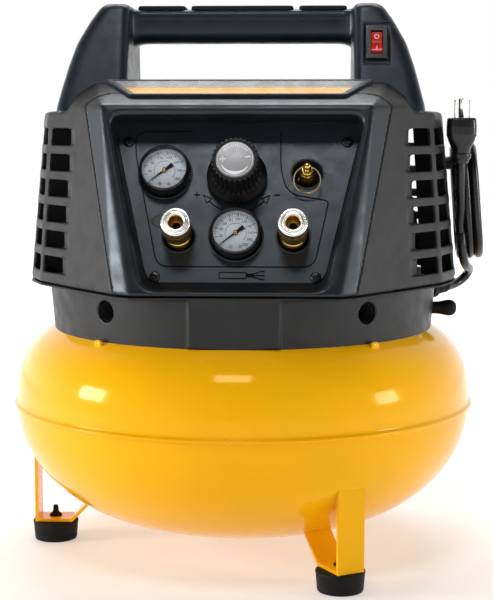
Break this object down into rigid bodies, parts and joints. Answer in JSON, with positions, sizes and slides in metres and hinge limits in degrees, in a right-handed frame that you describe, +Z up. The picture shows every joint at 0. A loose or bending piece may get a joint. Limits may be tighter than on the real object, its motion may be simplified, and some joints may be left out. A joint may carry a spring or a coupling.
{
  "type": "pancake air compressor",
  "caption": "Pancake air compressor: flat round tank on three legs, shrouded belt-driven pump, sloping console with gauges, regulator and quick couplers, carry handle and hung power cord.",
  "frame": {"origin": "on the floor plane under the tank's axis", "axes": "+Z up along the tank's axis, -Y towards the console (front), +X to the right of a person facing the console"},
  "size_m": [0.4282, 0.414, 0.487],
  "materials": {
    "tank_paint": "glossy yellow-orange enamel",
    "foot_rubber": "matte moulded rubber",
    "brass": "machined brass",
    "shroud_plastic": "charcoal plastic with a fine moulded texture",
    "console_plastic": "blue-black satin plastic",
    "label_print": "printed label, grey band over a yellow band",
    "dark_screws": "black oxide",
    "handle_plastic": "black satin plastic",
    "zinc_steel": "zinc-plated steel",
    "red_plastic": "glossy red",
    "gauge_black": "black moulding",
    "dial_white": "white printed dial",
    "gauge_glass": "clear lens",
    "regulator_metal": "dark die-cast body",
    "knob_cap_silver": "printed silver disc",
    "nickel": "nickel plate",
    "copper": "bare copper tube",
    "deck_steel": "painted pressed steel",
    "motor_steel": "steel motor can",
    "cast_alloy": "cast aluminium",
    "cast_iron": "cast iron",
    "belt_rubber": "ribbed belt",
    "cord_rubber": "glossy black cord jacket"
  },
  "bodies": {
    "frame": {"tank_upper_shell": "tank_paint", "tank_lower_shell": "tank_paint", "tank_bungs": "tank_paint", "leg_front_right": "tank_paint", "leg_left": "tank_paint", "leg_rear_right": "tank_paint", "foot_front_right": "foot_rubber", "foot_left": "foot_rubber", "foot_rear_right": "foot_rubber", "shroud_mount_tabs": "tank_paint", "drain_valve_body": "brass", "lower_shroud": "shroud_plastic", "front_cover": "shroud_plastic", "main_cover": "shroud_plastic", "rear_cover": "shroud_plastic", "console_panel": "console_plastic", "console_screws": "dark_screws", "cover_screws": "dark_screws", "label_plate": "console_plastic", "label_decal": "label_print", "handle_frame": "handle_plastic", "handle_grip_pads": "handle_plastic", "handle_straps": "zinc_steel", "switch_body": "handle_plastic", "tank_gauge_case": "gauge_black", "outlet_gauge_case": "gauge_black", "gauge_dials": "dial_white", "gauge_lenses": "gauge_glass", "regulator_body": "regulator_metal", "coupler_body_left": "brass", "coupler_body_right": "brass", "relief_valve_body": "brass", "air_manifold": "brass", "pressure_switch": "handle_plastic", "check_valve": "brass", "delivery_tube": "copper", "pump_deck": "deck_steel", "motor_housing": "motor_steel", "crankcase": "cast_alloy", "pump_cylinder": "cast_alloy", "intake_filter": "handle_plastic", "drive_belt": "belt_rubber", "cord_hooks": "handle_plastic", "power_cord_tail": "cord_rubber", "power_cord_hank": "cord_rubber", "plug_body": "cord_rubber", "plug_blades": "zinc_steel"},
    "rocker": {"switch_rocker": "red_plastic"},
    "tank_needle": {"tank_gauge_needle": "gauge_black"},
    "outlet_needle": {"outlet_gauge_needle": "gauge_black"},
    "knob": {"regulator_knob": "gauge_black", "regulator_knob_cap": "knob_cap_silver"},
    "sleeve_left": {"coupler_sleeve_left": "nickel"},
    "sleeve_right": {"coupler_sleeve_right": "nickel"},
    "relief_stem": {"relief_valve_stem": "brass"},
    "relief_ring": {"relief_valve_ring": "zinc_steel"},
    "drain_wing": {"drain_valve_wing": "brass"},
    "rotor": {"motor_rotor": "motor_steel"},
    "crankshaft": {"crankshaft_flywheel": "cast_iron"},
    "piston": {"piston_rod": "cast_alloy"}
  },
  "joints": [
    {"name": "switch_rocker_tilt", "type": "hinge", "parent": "frame", "child": "rocker", "pos_m": [0.117, -0.04619, 0.45114], "axis": [1, 0, 0], "range_deg": [0, 16]},
    {"name": "tank_needle_turn", "type": "hinge", "parent": "frame", "child": "tank_needle", "pos_m": [-0.06, -0.11577, 0.34496], "axis": [0, -0.9063, 0.4226], "range_deg": [-270, 0], "stiffness_Nm_per_rad": 0.00004},
    {"name": "outlet_needle_turn", "type": "hinge", "parent": "frame", "child": "outlet_needle", "pos_m": [0, -0.13902, 0.29512], "axis": [0, -0.9063, 0.4226], "range_deg": [-270, 0], "stiffness_Nm_per_rad": 0.00004},
    {"name": "regulator_knob_turn", "type": "hinge", "parent": "frame", "child": "knob", "pos_m": [0, -0.12924, 0.34683], "axis": [0, -0.9063, 0.4226], "range_deg": [-900, 0]},
    {"name": "left_sleeve_pull", "type": "slide", "parent": "frame", "child": "sleeve_left", "axis": [0, 0.9063, -0.4226], "range_m": [0, 0.003], "stiffness_N_per_m": 600, "springref_m": -0.002},
    {"name": "right_sleeve_pull", "type": "slide", "parent": "frame", "child": "sleeve_right", "axis": [0, 0.9063, -0.4226], "range_m": [0, 0.003], "stiffness_N_per_m": 600, "springref_m": -0.002},
    {"name": "relief_stem_pull", "type": "slide", "parent": "frame", "child": "relief_stem", "axis": [0, -0.9063, 0.4226], "range_m": [0, 0.003], "stiffness_N_per_m": 600, "springref_m": -0.002},
    {"name": "relief_ring_swing", "type": "hinge", "parent": "relief_stem", "child": "relief_ring", "pos_m": [0.058, -0.12393, 0.34877], "axis": [1, 0, 0], "range_deg": [-110, 8]},
    {"name": "drain_wing_turn", "type": "hinge", "parent": "frame", "child": "drain_wing", "pos_m": [-0.0785, 0.13597, 0.05], "axis": [-0.3536, 0.6124, -0.7071], "range_deg": [0, 270]},
    {"name": "motor_spin", "type": "hinge", "parent": "frame", "child": "rotor", "pos_m": [0, 0.076, 0.284], "axis": [1, 0, 0], "continuous": true},
    {"name": "crank_spin", "type": "hinge", "parent": "frame", "child": "crankshaft", "pos_m": [0, -0.025, 0.288], "axis": [1, 0, 0], "continuous": true},
    {"name": "piston_slide", "type": "slide", "parent": "frame", "child": "piston", "axis": [0, 0, 1], "range_m": [0, 0.022]}
  ],
  "couplings": [
    {"joint": "crank_spin", "follows": "motor_spin", "ratio": 0.2}
  ]
}
